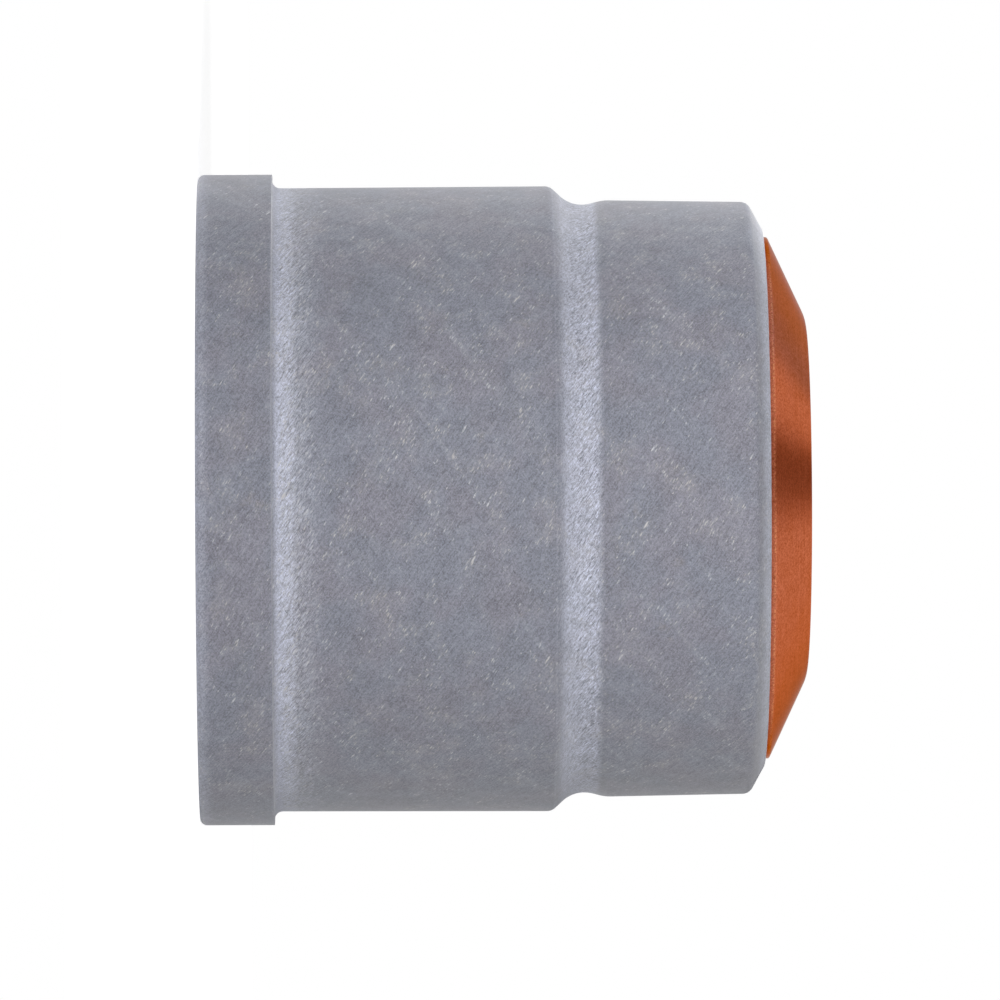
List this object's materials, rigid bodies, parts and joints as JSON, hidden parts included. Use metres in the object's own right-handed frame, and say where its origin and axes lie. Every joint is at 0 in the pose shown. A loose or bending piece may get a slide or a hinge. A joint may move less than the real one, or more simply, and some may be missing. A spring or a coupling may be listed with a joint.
{
  "type": "plasma torch retaining cap",
  "caption": "Round retaining cap for a plasma cutting torch: grey moulded insulating shell with a collar and a waist, brass thread inside, copper cone nose with a nozzle hole.",
  "frame": {"origin": "centre of the rear rim's plane, on the cap's axis", "axes": "+Z along the cap's axis towards the nose; the cap stands on its rear rim"},
  "size_m": [0.03, 0.03, 0.0281],
  "materials": {
    "moulded_insulation": "matt mineral-filled moulding, fine grain with pale flecks",
    "turned_brass": "turned, satin",
    "turned_copper": "copper, turned, satin, fine lines round the axis"
  },
  "bodies": {
    "root": {"insulating_body": "moulded_insulation", "thread_liner": "turned_brass", "copper_nose": "turned_copper"}
  },
  "joints": []
}
